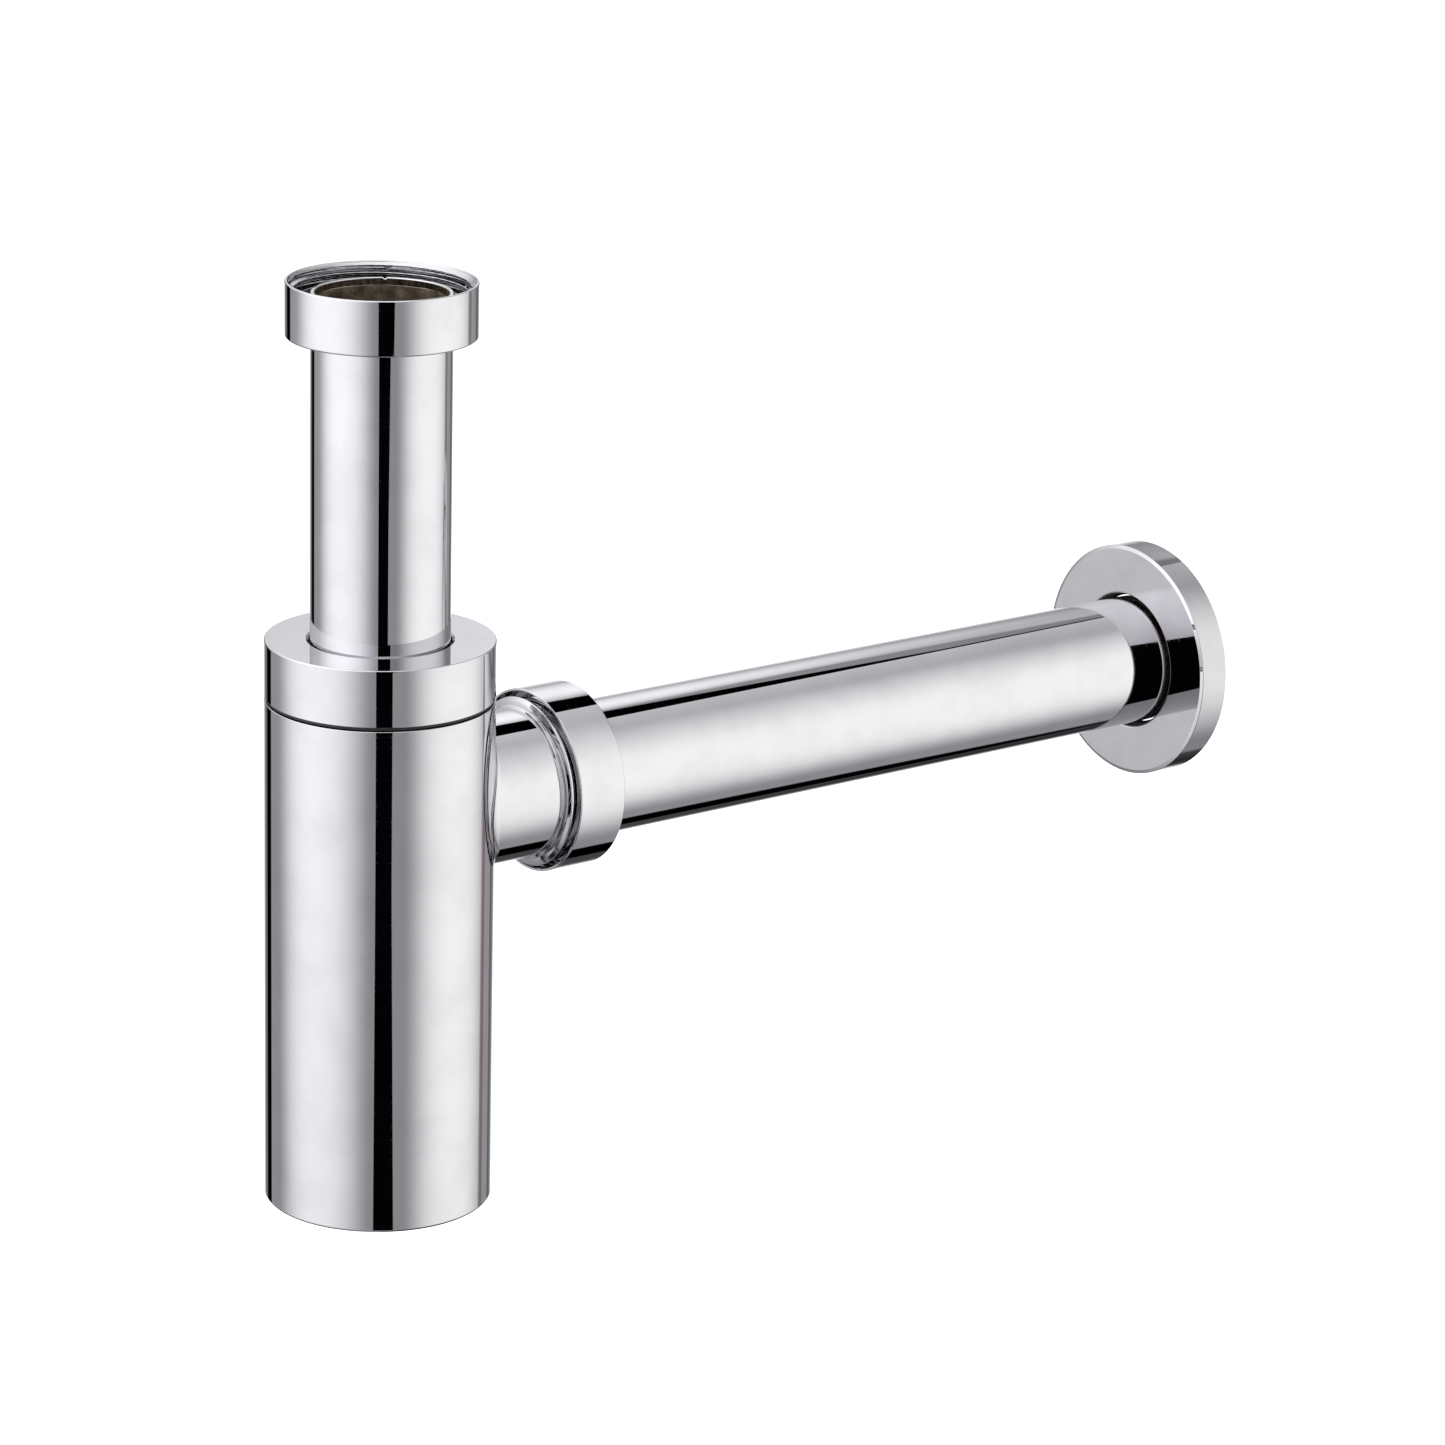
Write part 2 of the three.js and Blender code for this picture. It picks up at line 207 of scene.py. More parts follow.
def lathe(name, samples, place=None, steps=FINE, thread=None, reshape=None, bareness_and_shade=None):
    """A turned piece. samples are in millimetres about local Z; place puts it in the frame.

    thread raises a thread on one wall, reshape(points, normals) changes both in place, and
    bareness_and_shade(r, h) is how bare of plating the surface is, and on the flange's hole wall it is
    painted shade."""
    marks = np.zeros(len(samples), bool)
    if thread is not None:
        samples, marks = with_rows(samples, thread)
    closed = samples[0][0] > 1e-9
    angles = np.arange(steps) * TURN / steps
    radius = np.repeat(samples[:, 0:1], steps, axis=1)
    height = np.repeat(samples[:, 1:2], steps, axis=1)
    angle = np.repeat(angles[None, :], len(samples), axis=0)
    flat_radius = radius.copy()
    normal_r = np.repeat(samples[:, 2:3], steps, axis=1)
    normal_t = np.zeros_like(normal_r)
    normal_h = np.repeat(samples[:, 3:4], steps, axis=1)
    if thread is not None:
        small = 1e-3
        radius[marks] = thread.radius(angle[marks], height[marks])
        up = thread.radius(angle[marks], height[marks] + small)
        down = thread.radius(angle[marks], height[marks] - small)
        turned = thread.radius((angle[marks] + small) % TURN, height[marks])
        unturned = thread.radius((angle[marks] - small) % TURN, height[marks])
        slope_h = (up - down) / (2 * small)
        slope_t = (turned - unturned) / (2 * small) / radius[marks]
        facing = normal_r[marks]
        size = np.sqrt(1 + slope_h**2 + slope_t**2)
        normal_r[marks] = facing / size
        normal_t[marks] = -facing * slope_t / size
        normal_h[marks] = -facing * slope_h / size
    c, s = np.cos(angle), np.sin(angle)
    points = np.stack([radius * c, radius * s, height], -1).reshape(-1, 3)
    normals = np.stack([normal_r * c - normal_t * s, normal_r * s + normal_t * c, normal_h], -1)
    normals = normals.reshape(-1, 3)
    if reshape is not None:
        reshape(points, normals)
    bare = np.zeros(len(points)) if bareness_and_shade is None else bareness_and_shade(flat_radius, height).reshape(-1)

    rows = len(samples)
    index = np.arange(rows * steps).reshape(rows, steps)
    faces = []
    for j in range(rows if closed else rows - 1):
        near, far = index[j], index[(j + 1) % rows]
        turned_near, turned_far = np.roll(near, -1), np.roll(far, -1)
        faces.extend(np.stack([near, turned_near, turned_far, far], -1).tolist())
    if not closed:
        # The first and last rows lie on the axis: each shrinks to one point.
        first, final = int(index[0, 0]), int(index[-1, 0])
        fans = []
        for face in faces:
            on_first = [v for v in face if v < steps]
            on_final = [v for v in face if v >= (rows - 1) * steps]
            kept = [first if v in on_first else final if v in on_final else v for v in face]
            fans.append(list(dict.fromkeys(kept)))
        used = sorted({v for face in fans for v in face})
        renumber = {old: new for new, old in enumerate(used)}
        faces = [[renumber[v] for v in face] for face in fans]
        points, normals, bare = points[used], normals[used], bare[used]

    place = Matrix.Identity(4) if place is None else place
    matrix = np.array(place)
    points = (points @ matrix[:3, :3].T + matrix[:3, 3]) * MM
    normals = normals @ matrix[:3, :3].T

    mesh = bpy.data.meshes.new(name + "_visual")
    mesh.from_pydata(points.tolist(), [], faces)
    mesh.shade_smooth()
    attribute = mesh.attributes.new("bareness_and_shade", "FLOAT", "POINT")
    attribute.data.foreach_set("value", bare.astype(np.float32))
    mesh.normals_split_custom_set_from_vertices(normals.tolist())
    made = bpy.data.objects.new(name + "_visual", mesh)
    bpy.context.scene.collection.objects.link(made)
    return made


def cut(target, cutter):
    """Cuts one closed mesh out of another and removes the cutter."""
    modifier = target.modifiers.new("cut", "BOOLEAN")
    modifier.operation = "DIFFERENCE"
    modifier.solver = "EXACT"
    modifier.object = cutter
    graph = bpy.context.evaluated_depsgraph_get()
    graph.update()
    made = bpy.data.meshes.new_from_object(target.evaluated_get(graph))
    target.modifiers.clear()
    old, target.data = target.data, made
    made.name = target.name
    bpy.data.meshes.remove(old)
    bpy.data.objects.remove(cutter)


# ---- where things are -------------------------------------------------------------------------


def size_of(node):
    low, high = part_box(node)
    return low / MM, high / MM


shell_low, shell_high = size_of("bottle_shell")
cap_low, cap_high = size_of("cap")
nut_low, nut_high = size_of("inlet_nut")
tube_low, tube_high = size_of("inlet_tube")
branch_high = size_of("outlet_branch")[1]
flange_low, flange_high = size_of("wall_flange")
outlet_nut_high = size_of("outlet_nut")[1]
outlet_low, outlet_high = size_of("outlet_tube")
gasket_low, gasket_high = size_of("body_gasket")
washer_low, washer_high = size_of("inlet_washer")

TUBE = tube_high.x
BORE = TUBE - TUBE_WALL
BOTTLE = shell_high.x
INSIDE = BOTTLE - BOTTLE_WALL
NUT = nut_high.x
NUT_HEIGHT = nut_high.z - nut_low.z
OUTLET_Z = (outlet_low.z + outlet_high.z) / 2

# The outlet pieces are turned about local Z, which this lays along +X.
OUTLET = Matrix.Translation((0, 0, OUTLET_Z)) @ Matrix.Rotation(math.pi / 2, 4, "Y")
OUTLET_NUT = OUTLET @ Matrix.Translation((0, 0, outlet_nut_high.x)) @ Matrix.Rotation(math.pi, 4, "X")


# ---- materials --------------------------------------------------------------------------------


class Nodes:
    """A material's node tree, built up by short calls."""

    def __init__(self, name):
        self.material = bpy.data.materials.new(name)
        self.material.use_nodes = True
        self.tree = self.material.node_tree
        self.shader = self.tree.nodes["Principled BSDF"]

    def add(self, kind, inputs=None, **settings):
        node = self.tree.nodes.new(kind)
        for key, value in settings.items():
            setattr(node, key, value)
        for key, value in (inputs or {}).items():
            self.put(node.inputs[key], value)
        return node

    def put(self, socket, value):
        if isinstance(value, bpy.types.NodeSocket):
            self.tree.links.new(value, socket)
        else:
            socket.default_value = value

    def where(self):
        return self.add("ShaderNodeTexCoord").outputs["Object"]

    def math(self, operation, *values):
        node = self.add("ShaderNodeMath", operation=operation)
        for socket, value in zip(node.inputs, values):
            self.put(socket, value)
        return node.outputs[0]

    def stretched(self, scale):
        """Object coordinates scaled per axis."""
        node = self.add("ShaderNodeVectorMath", operation="MULTIPLY")
        self.put(node.inputs[0], self.where())
        node.inputs[1].default_value = scale
        return node.outputs[0]

    def noise(self, vector, scale, detail=2.0, roughness=0.5):
        inputs = {"Vector": vector, "Scale": scale, "Detail": detail, "Roughness": roughness}
        return self.add("ShaderNodeTexNoise", inputs).outputs["Fac"]

    def ramp(self, value, low, high, out_low=0.0, out_high=1.0):
        inputs = {0: value, 1: low, 2: high, 3: out_low, 4: out_high}
        node = self.add("ShaderNodeMapRange", interpolation_type="SMOOTHSTEP")
        for key, given in inputs.items():
            self.put(node.inputs[key], given)
        return node.outputs[0]

    def mix(self, share, first, second):
        node = self.add("ShaderNodeMix", data_type="RGBA")
        self.put(node.inputs["Factor"], share)
        self.put(node.inputs[6], first)
        self.put(node.inputs[7], second)
        return node.outputs[2]

    def blend(self, share, first, second):
        node = self.add("ShaderNodeMix", data_type="FLOAT")
        self.put(node.inputs["Factor"], share)
        self.put(node.inputs[2], first)
        self.put(node.inputs[3], second)
        return node.outputs[0]

    def bump(self, height, distance, normal=None):
        node = self.add("ShaderNodeBump", {"Height": height, "Distance": distance, "Strength": 1.0})
        if normal is not None:
            self.put(node.inputs["Normal"], normal)
        return node.outputs[0]


PLATE = (0.60, 0.595, 0.615, 1)
PLATE_THIN = (0.56, 0.55, 0.57, 1)
PLATE_PRESSED = (0.51, 0.505, 0.52, 1)
PLATE_PRESSED_THIN = (0.47, 0.46, 0.48, 1)
BARE_DARK = (0.15, 0.115, 0.08, 1)
BARE_LIGHT = (0.44, 0.365, 0.27, 1)


def plated(name, along, plate_colour=PLATE, thin_colour=PLATE_THIN):
    """Bright chrome plate over polished brass, bare where the mesh's bareness_and_shade attribute says so;
    on the flange's hole wall that is painted shade.

    along is the direction of the piece's axis, which the polishing marks run round."""
    n = Nodes(name)
    across = Vector((1, 1, 1)) - Vector(along)
    lines = n.stretched(tuple(1400 * a + 30 * b for a, b in zip(along, across)))
    marks = n.noise(lines, 1.0, 3.0, 0.6)
    haze = n.noise(n.where(), 90.0, 4.0, 0.55)
    waves = n.noise(n.where(), 55.0, 1.0, 0.4)
    grain = n.noise(n.where(), 2600.0, 3.0, 0.6)
    stains = n.noise(n.where(), 210.0, 4.0, 0.6)
    bareness_and_shade = n.add("ShaderNodeAttribute", attribute_name="bareness_and_shade").outputs["Fac"]
    patchy = n.math("MULTIPLY", n.math("SUBTRACT", stains, 0.5), 0.9)
    # bare also carries painted shade: the flange's hole wall is darkened to the bare brass colours.
    bare = n.ramp(n.math("ADD", bareness_and_shade, patchy), 0.42, 0.62)
    plate = n.mix(n.ramp(haze, 0.35, 0.75), plate_colour, thin_colour)
    brass = n.mix(n.ramp(stains, 0.36, 0.66), BARE_DARK, BARE_LIGHT)
    n.put(n.shader.inputs["Base Color"], n.mix(bare, plate, brass))
    gloss = n.math(
        "ADD", n.ramp(haze, 0.3, 0.8, 0.012, 0.045), n.ramp(marks, 0.52, 0.75, 0.0, 0.05)
    )
    dull = n.ramp(grain, 0.3, 0.7, 0.36, 0.56)
    n.put(n.shader.inputs["Roughness"], n.blend(bare, gloss, dull))
    wavy = n.bump(waves, 7e-6)
    lined = n.bump(marks, 0.12e-6, wavy)
    rough = n.math("MULTIPLY", grain, bare)
    n.put(n.shader.inputs["Normal"], n.bump(rough, 40e-6, lined))
    n.shader.inputs["Metallic"].default_value = 1.0
    return n.material


def turned_brass(name):
    """Bare brass off the lathe, with the tool's rings."""
    n = Nodes(name)
    flat = n.stretched((1, 1, 0))
    radius = n.add("ShaderNodeVectorMath", {0: flat}, operation="LENGTH").outputs["Value"]
    height = n.add("ShaderNodeSeparateXYZ", {0: n.where()}).outputs["Z"]
    along = n.math("ADD", radius, height)
    rings = n.add("ShaderNodeTexNoise", {"Scale": 9000.0, "Detail": 2.0}, noise_dimensions="1D")
    n.put(rings.inputs["W"], along)
    rings = rings.outputs["Fac"]
    tarnish = n.noise(n.where(), 160.0, 4.0, 0.6)
    colour = n.mix(n.ramp(tarnish, 0.35, 0.7), (0.74, 0.55, 0.28, 1), (0.50, 0.34, 0.17, 1))
    n.put(n.shader.inputs["Base Color"], colour)
    n.put(n.shader.inputs["Roughness"], n.ramp(rings, 0.3, 0.7, 0.18, 0.36))
    n.put(n.shader.inputs["Normal"], n.bump(rings, 6e-6))
    n.shader.inputs["Metallic"].default_value = 1.0
    return n.material


def rubber(name):
    """Black moulded rubber with a fine grain and a little bloom."""
    n = Nodes(name)
    grain = n.noise(n.where(), 1900.0, 4.0, 0.6)
    bloom = n.noise(n.where(), 240.0, 3.0, 0.5)
    colour = n.mix(n.ramp(bloom, 0.4, 0.75), (0.009, 0.009, 0.010, 1), (0.022, 0.021, 0.021, 1))
    n.put(n.shader.inputs["Base Color"], colour)
    n.put(n.shader.inputs["Roughness"], n.ramp(grain, 0.3, 0.7, 0.42, 0.62))
    n.put(n.shader.inputs["Normal"], n.bump(grain, 18e-6))
    return n.material


def nylon(name):
    """Natural nylon, off-white with faint flow marks."""
    n = Nodes(name)
    flow = n.noise(n.where(), 120.0, 3.0, 0.5)
    grain = n.noise(n.where(), 1500.0, 3.0, 0.6)
    colour = n.mix(n.ramp(flow, 0.35, 0.7), (0.80, 0.78, 0.71, 1), (0.74, 0.715, 0.63, 1))
    n.put(n.shader.inputs["Base Color"], colour)
    n.put(n.shader.inputs["Roughness"], n.ramp(grain, 0.3, 0.7, 0.34, 0.50))
    n.put(n.shader.inputs["Normal"], n.bump(grain, 8e-6))
    n.shader.inputs["Subsurface Weight"].default_value = 0.15
    n.shader.inputs["Subsurface Radius"].default_value = (0.0012, 0.001, 0.0007)
    return n.material


CHROME_UP = plated("chrome_round_z", (0, 0, 1))
CHROME_OUT = plated("chrome_round_x", (1, 0, 0))
CHROME_PRESSED = plated("chrome_pressed", (1, 0, 0), PLATE_PRESSED, PLATE_PRESSED_THIN)
BRASS = turned_brass("lathe_brass")
RUBBER = rubber("moulded_rubber")
NYLON = nylon("moulded_nylon")


def finish_piece(made, material, body):
    """Gives a piece its material and body. It stands for the CAD node of the same name, which it hides."""
    node = made.name.removesuffix("_visual")
    made.data.materials.append(material)
    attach(made, body)
    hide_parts(node)


# ---- inlet pieces -----------------------------------------------------------------------------


def union_nut(name, place, turns, runs_out):
    """A union nut in its own frame: lip at height 0 with the tube's hole, threaded mouth on top.

    runs_out takes the thread out through the mouth; otherwise it fades before a plain wall."""
    outline = rounded(
        [
            (HOLE, 0, 0.2),
            (NUT, 0, 0.5),
            (NUT, NUT_HEIGHT, 0.28),
            (NUT_MOUTH, NUT_HEIGHT, 0.1),
            (UNION_MAJOR, NUT_HEIGHT - 0.25, 0.1),
            (UNION_MAJOR, NUT_LIP, 0.35),
            (HOLE, NUT_LIP, 0.15),
        ]
    )
    mouth = (NUT_MOUTH, NUT_HEIGHT)
    thread = Thread(UNION_MAJOR, -1, NUT_THREAD, turns, runs_out, mouth)

    def inside(r, h):
        return np.where((r < NUT - 1.2) & (h < NUT_HEIGHT - 1.6), BARE_NUT, 0.0)

    return lathe(name, outline, place, thread=thread, bareness_and_shade=inside)


def plain_ring(name, inner, outer, low, high, fillet, place=None, steps=HIDDEN, bareness_and_shade=None):
    corners = [(inner, low, fillet), (outer, low, fillet), (outer, high, fillet), (inner, high, fillet)]
    return lathe(name, rounded(corners), place, steps=steps, bareness_and_shade=bareness_and_shade)


def bare_bore(r, h):
    """The plating bath doesn't reach into a tube."""
    return np.where(r < TUBE - 0.4, BARE, 0.0)


def bare_below_rim(r, h):
    """As bare_bore, but the spigot's rim is plated."""
    return np.where(h < tube_high.z - RIM_PLATED - RIM_FADE / 2, bare_bore(r, h), 0.0)


def nick(points, normals):
    """A small nick in the spigot's rim, on the side away from the viewer."""
    top = points[:, 2] > tube_high.z - 0.6
    rear = np.abs(np.arctan2(points[:, 1], points[:, 0]) - math.radians(NICK_ANGLE)) < TURN / FINE
    points[top & rear, 2] -= NICK_DEPTH


nut_place = Matrix.Translation((0, 0, nut_low.z))
inlet_nut = union_nut("inlet_nut", nut_place, NUT_TURNS, True)
finish_piece(inlet_nut, CHROME_UP, "inlet_nut")

tube = lathe(
    "inlet_tube",
    rounded(
        [
            (BORE, tube_low.z, 0.25),
            (TUBE, tube_low.z, 0.25),
            (TUBE, tube_high.z, 0.3),
            (BORE, tube_high.z, 0.3),
            (BORE, tube_high.z - RIM_PLATED, 0),
            (BORE, tube_high.z - RIM_PLATED - RIM_FADE, 0),
        ]
    ),
    reshape=nick,
    bareness_and_shade=bare_below_rim,
)
finish_piece(tube, CHROME_UP, "inlet_tube")

washer = plain_ring("inlet_washer", TUBE + 0.2, washer_high.x, washer_low.z, washer_high.z, 0.3, steps=FINE)
finish_piece(washer, RUBBER, "inlet_tube")

collar_low, collar_high = size_of("inlet_collar")
collar = lathe(
    "inlet_collar",
    rounded(
        [
            (TUBE + 0.02, collar_low.z, 0.1),
            (collar_high.x, collar_low.z, 0.2),
            (collar_high.x, collar_high.z, 0.2),
            (TUBE + 0.02, collar_high.z, 0.1),
        ]
    ),
    steps=HIDDEN,
)
finish_piece(collar, BRASS, "inlet_tube")

thrust_low, thrust_high = size_of("inlet_thrust_ring")
thrust = plain_ring("inlet_thrust_ring", TUBE + 0.3, thrust_high.x, thrust_low.z, thrust_high.z, 0.2)
finish_piece(thrust, NYLON, "inlet_thrust_ring")


# ---- cap and bottle ---------------------------------------------------------------------------

NECK_ROOT = CAP_MAJOR - THREAD_DEPTH - THREAD_GAP
neck_low, neck_high = size_of("neck_ring")
NECK_THREAD = cap_high.z - 11.6
NECK_BORE = 16.9
NECK_DEPTH = 7.0
SEAT_TOP, SEAT_BOTTOM, SEAT_DEPTH = 20.4, 17.2, 5.0
SEAT_SLOPE = (SEAT_TOP - SEAT_BOTTOM) / SEAT_DEPTH

cap = lathe(
    "cap",
    rounded(
        [
            (HOLE, cap_high.z - 2, 0.2),
            (CAP_MAJOR, cap_high.z - 2, 0.3),
            (CAP_MAJOR, cap_low.z + 0.4, 0.1),
            (CAP_MAJOR + 0.4, cap_low.z, 0.1),
            (BOTTLE, cap_low.z, 0.18),
            (BOTTLE, cap_high.z, 0.3),
            (HOLE + 0.45, cap_high.z, 0.12),
            (HOLE, cap_high.z - 0.45, 0.12),
        ]
    ),
    thread=Thread(CAP_MAJOR, -1, NECK_THREAD + PITCH / 2, THREAD_TURNS),
    bareness_and_shade=lambda r, h: np.where((r < BOTTLE - 1) & (h < cap_high.z - 1.5), BARE_CAP, 0.0),
)
finish_piece(cap, CHROME_UP, "cap")

slip_low, slip_high = size_of("cap_slip_ring")
slip = plain_ring("cap_slip_ring", TUBE + 0.3, slip_high.x, slip_low.z, slip_high.z, 0.25)
finish_piece(slip, NYLON, "cap_slip_ring")

seal_low, seal_high = size_of("cap_seal")
seal = lathe(
    "cap_seal",
    rounded(
        [
            (TUBE + 0.15, seal_low.z, 0.15),
            (SEAT_BOTTOM + 0.4 * SEAT_SLOPE - 0.2, seal_low.z, 0.2),
            (seal_high.x, seal_high.z - 0.5, 0.15),
            (seal_high.x - 0.1, seal_high.z, 0.2),
            (TUBE + 0.15, seal_high.z, 0.2),
        ]
    ),
    steps=HIDDEN,
)
finish_piece(seal, RUBBER, "cap_seal")

SLEEVE = INSIDE - 0.1
neck = lathe(
    "neck_ring",
    rounded(
        [
            (NECK_BORE, neck_high.z - NECK_DEPTH, 0.2),
            (NECK_ROOT - 2, neck_high.z - NECK_DEPTH, 0.4),
            (NECK_ROOT - 2, shell_high.z - 1, 0.5),
            (SLEEVE - 2, shell_high.z - 4, 0.5),
            (SLEEVE - 2, neck_low.z, 0.3),
            (SLEEVE, neck_low.z, 0.3),
            (SLEEVE, shell_high.z, 0.15),
            (NECK_ROOT, shell_high.z, 0.2),
            (NECK_ROOT, neck_high.z, 0.25),
            (SEAT_TOP, neck_high.z, 0.2),
            (SEAT_BOTTOM, neck_high.z - SEAT_DEPTH, 0.25),
            (NECK_BORE, neck_high.z - SEAT_DEPTH, 0.1),
        ]
    ),
    thread=Thread(NECK_ROOT, 1, NECK_THREAD, THREAD_TURNS),
)
finish_piece(neck, BRASS, "bottle")

gasket = plain_ring(
    "body_gasket", CAP_MAJOR + 0.2, gasket_high.x, gasket_low.z, gasket_high.z, 0.25, steps=FINE
)
finish_piece(gasket, RUBBER, "bottle")

STUB = 17.6
DRILL_LENGTH = 60
SHELL_EDGE = 1.0  # the rounding of the shell's lower edge
shell = lathe(
    "bottle_shell",
    rounded(
        [
            (INSIDE, shell_low.z, 0.2),
            (BOTTLE, shell_low.z, SHELL_EDGE),
            (BOTTLE, shell_high.z, 0.2),
            (INSIDE, shell_high.z, 0.1),
        ]
    ),
    bareness_and_shade=lambda r, h: np.where(r < INSIDE + 0.15, BARE, 0.0),
)
drill = lathe(
    "drill",
    rounded(
        [
            (0, 0, 0),
            (STUB + 0.02, 0, 0.1),
            (STUB + 0.02, DRILL_LENGTH, 0.1),
            (0, DRILL_LENGTH, 0),
        ],
        closed=False,
    ),
    OUTLET,
)
cut(shell, drill)


def shell_normals(mesh):
    """Exact radial normals on the walls of the drilled shell, so that the cut leaves no dents."""
    points = np.array([v.co[:] for v in mesh.vertices]) / MM
    normals = np.empty((len(mesh.loops), 3))
    bottom = shell_low.z + SHELL_EDGE
    for face in mesh.polygons:
        face.use_smooth = True
        middle = points[list(face.vertices)].mean(0)
        radius = math.hypot(middle[0], middle[1])
        outward = face.normal.x * middle[0] + face.normal.y * middle[1]
        for loop in face.loop_indices:
            p = points[mesh.loops[loop].vertex_index]
            radial = np.array([p[0], p[1], 0]) / math.hypot(p[0], p[1])
            if abs(radius - BOTTLE) < 0.02 and outward > 0 and middle[2] > bottom:
                normals[loop] = radial
            elif abs(radius - INSIDE) < 0.02 and outward < 0:
                normals[loop] = -radial
            elif outward > 0 and middle[2] < bottom:
                down = min(1.0, (bottom - p[2]) / SHELL_EDGE)
                normals[loop] = radial * math.sqrt(max(0, 1 - down * down)) - np.array([0, 0, down])
            else:
                normals[loop] = face.normal
    mesh.normals_split_custom_set(normals.tolist())


shell_normals(shell.data)
finish_piece(shell, CHROME_UP, "bottle")

base_low, base_high = size_of("bottle_base")
base = lathe(
    "bottle_base",
    rounded(
        [
            (0, base_low.z, 0),
            (INSIDE - 1.4, base_low.z, 3.0),
            (INSIDE - 0.1, base_low.z + 0.7, 0.8),
            (INSIDE - 0.1, base_high.z, 0.3),
            (INSIDE - 1.1, base_high.z, 0.3),
            (INSIDE - 1.7, base_low.z + 2, 1.0),
            (0, base_low.z + 2, 0),
        ],
        closed=False,
    ),
    bareness_and_shade=lambda r, h: np.where(h > base_low.z + 1.2, BARE, 0.0),
)
finish_piece(base, CHROME_UP, "bottle")


# ---- outlet pieces ----------------------------------------------------------------------------

BRANCH_ROOT = UNION_MAJOR - THREAD_DEPTH - THREAD_GAP
BRANCH_COLLAR = 20.0
BRANCH_BORE = 15
SHOULDER = 29.5  # what stops the outlet tube
MOUTH = BRANCH_ROOT - 0.7
MOUTH_BOTTOM, MOUTH_DEPTH = 17, 5
MOUTH_SLOPE = (MOUTH - MOUTH_BOTTOM) / MOUTH_DEPTH
COLLAR_X = 38.6
BRANCH_END = branch_high.x
NUT_RIDGE = outlet_nut_high.x - NUT_THREAD
INNER_END = 20.0

# The branch flares onto the bottle's wall: how far out along the wall and how far along the branch,
# at its top and bottom, and how much more at its sides.
FLARE_RISE, FLARE_RISE_SIDE = 0.4, 2.7
FLARE_RUN, FLARE_RUN_SIDE = 0.5, 1.3
FLARE_FOOT = 21.0  # the flare's rows, before they are bent, stand here and up to 1 mm further
FLARE_ROWS = 8
FLARE_SUNK = 0.03


def saddle(points, normals):
    """Bends the branch's inner end to the bottle's inside, and its flare to the bottle's outside."""
    z = points[:, 2].copy()
    inner = z < FLARE_FOOT - 0.5
    points[inner, 2] += np.sqrt(INSIDE**2 - points[inner, 1] ** 2) - INNER_END
    flare = (z > FLARE_FOOT - 0.001) & (z < FLARE_FOOT + 1.001)
    turn = (z[flare] - FLARE_FOOT) * math.pi / 2
    side = (points[flare, 1] / STUB) ** 2
    rise = (FLARE_RISE + FLARE_RISE_SIDE * side) * (1 - np.sin(turn))
    run = (FLARE_RUN + FLARE_RUN_SIDE * side) * (1 - np.cos(turn))
    points[flare, :2] *= (1 + rise / STUB)[:, None]
    across = points[flare, 1]
    wall = np.sqrt(BOTTLE**2 - across**2)
    points[flare, 2] = wall + run - FLARE_SUNK
    out_of_wall = np.stack([np.zeros_like(wall), across, wall], -1) / BOTTLE
    bent = out_of_wall * np.cos(turn)[:, None] + normals[flare] * np.sin(turn)[:, None]
    normals[flare] = bent / np.linalg.norm(bent, axis=1)[:, None]


branch_outline = rounded(
    [
        (BRANCH_BORE, INNER_END, 0.1),
        (STUB, INNER_END, 0.1),
        (STUB, COLLAR_X - 0.5, 0.12),
        (STUB - 0.15, COLLAR_X - 0.3, 0.1),
        (STUB + 0.65, COLLAR_X - 0.1, 0.3),
        (STUB + 0.65, COLLAR_X + 0.5, 0.3),
        (STUB + 0.45, COLLAR_X + 0.65, 0.2),
        (STUB + 1.4, COLLAR_X + 0.8, 1.0),
        (BRANCH_COLLAR, COLLAR_X + 1.2, 0.3),
        (BRANCH_COLLAR, COLLAR_X + 1.85, 0.2),
        (BRANCH_ROOT, COLLAR_X + 2.4, 0.3),
        (BRANCH_ROOT, BRANCH_END, 0.3),
        (MOUTH, BRANCH_END, 0.15),
        (MOUTH_BOTTOM, BRANCH_END - MOUTH_DEPTH, 0.2),
        (HOLE, BRANCH_END - MOUTH_DEPTH, 0.2),
        (HOLE, SHOULDER, 0.2),
        (BRANCH_BORE, SHOULDER, 0.2),
    ]
)
on_wall = (branch_outline[:, 0] > STUB - 0.01) & (branch_outline[:, 1] < INNER_END + 0.5)
flare_rows = [(STUB, FLARE_FOOT + t, 1.0, 0.0) for t in np.linspace(0, 1, FLARE_ROWS)]
branch_outline = np.insert(branch_outline, np.flatnonzero(on_wall)[-1] + 1, flare_rows, axis=0)
branch = lathe(
    "outlet_branch",
    branch_outline,
    OUTLET,
    thread=Thread(BRANCH_ROOT, 1, NUT_RIDGE - THREAD_TURNS * PITCH, THREAD_TURNS),
    reshape=saddle,
    bareness_and_shade=lambda r, h: np.where(r < STUB - 0.4, BARE, 0.0),
)
finish_piece(branch, CHROME_OUT, "bottle")

outlet_nut = union_nut("outlet_nut", OUTLET_NUT, OUTLET_NUT_TURNS, False)
finish_piece(outlet_nut, CHROME_OUT, "outlet_nut")

oslip_low, oslip_high = size_of("outlet_slip_ring")
oslip = plain_ring(
    "outlet_slip_ring", TUBE + 0.3, oslip_high.y, oslip_low.x, oslip_high.x, 0.25, OUTLET
)
finish_piece(oslip, NYLON, "outlet_slip_ring")

oseal_low, oseal_high = size_of("outlet_seal")
oseal = lathe(
    "outlet_seal",
    rounded(
        [
            (TUBE + 0.15, oseal_low.x, 0.15),
            (MOUTH_BOTTOM + 0.4 * MOUTH_SLOPE - 0.2, oseal_low.x, 0.2),
            (MOUTH - 0.2, BRANCH_END + 0.2, 0.1),
            (MOUTH + 0.3, BRANCH_END + 0.2, 0.15),
            (MOUTH + 0.3, oseal_high.x, 0.2),
            (TUBE + 0.15, oseal_high.x, 0.2),
        ]
    ),
    OUTLET,
    steps=HIDDEN,
)
finish_piece(oseal, RUBBER, "bottle")

